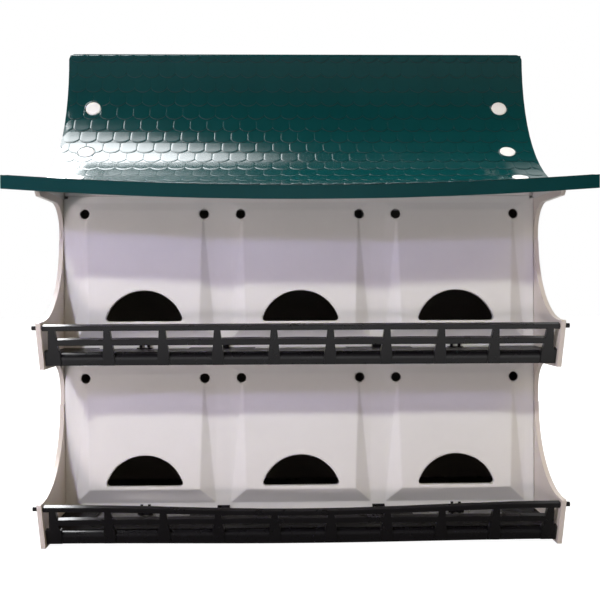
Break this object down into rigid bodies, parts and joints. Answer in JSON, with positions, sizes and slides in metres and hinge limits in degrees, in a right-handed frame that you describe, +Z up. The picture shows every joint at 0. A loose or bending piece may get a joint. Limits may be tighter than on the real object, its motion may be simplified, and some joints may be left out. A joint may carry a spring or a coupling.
{
  "type": "purple martin birdhouse",
  "caption": "Two-storey house for colony-nesting martins: rooms with crescent entrances behind railed porches on front and back, under a concave roof.",
  "frame": {"origin": "middle of the underside, on the plane that the end walls' feet stand on", "axes": "+Z up, +X along the roof ridge to the right as seen from the front, -Y out of the front porches"},
  "size_m": [0.5232, 0.504, 0.5068],
  "materials": {
    "wall_white": "satin moulded plastic",
    "trim_black": "gloss moulded plastic",
    "roof_green": "satin moulded plastic with shingle relief"
  },
  "bodies": {
    "root": {"lower_floor": "trim_black", "upper_floor": "trim_black", "ceiling": "wall_white", "lower_left_end_wall": "wall_white", "lower_right_end_wall": "wall_white", "upper_left_end_wall": "wall_white", "upper_right_end_wall": "wall_white", "left_gable": "wall_white", "right_gable": "wall_white", "lower_spine_wall": "wall_white", "upper_spine_wall": "wall_white", "lower_left_divider": "wall_white", "lower_right_divider": "wall_white", "upper_left_divider": "wall_white", "upper_right_divider": "wall_white", "lower_front_wall": "wall_white", "lower_back_wall": "wall_white", "upper_front_wall": "wall_white", "upper_back_wall": "wall_white", "lower_front_porch": "trim_black", "lower_back_porch": "trim_black", "upper_front_porch": "trim_black", "upper_back_porch": "trim_black", "lower_front_railing": "trim_black", "lower_back_railing": "trim_black", "upper_front_railing": "trim_black", "upper_back_railing": "trim_black", "front_roof": "roof_green", "back_roof": "roof_green"}
  },
  "joints": []
}
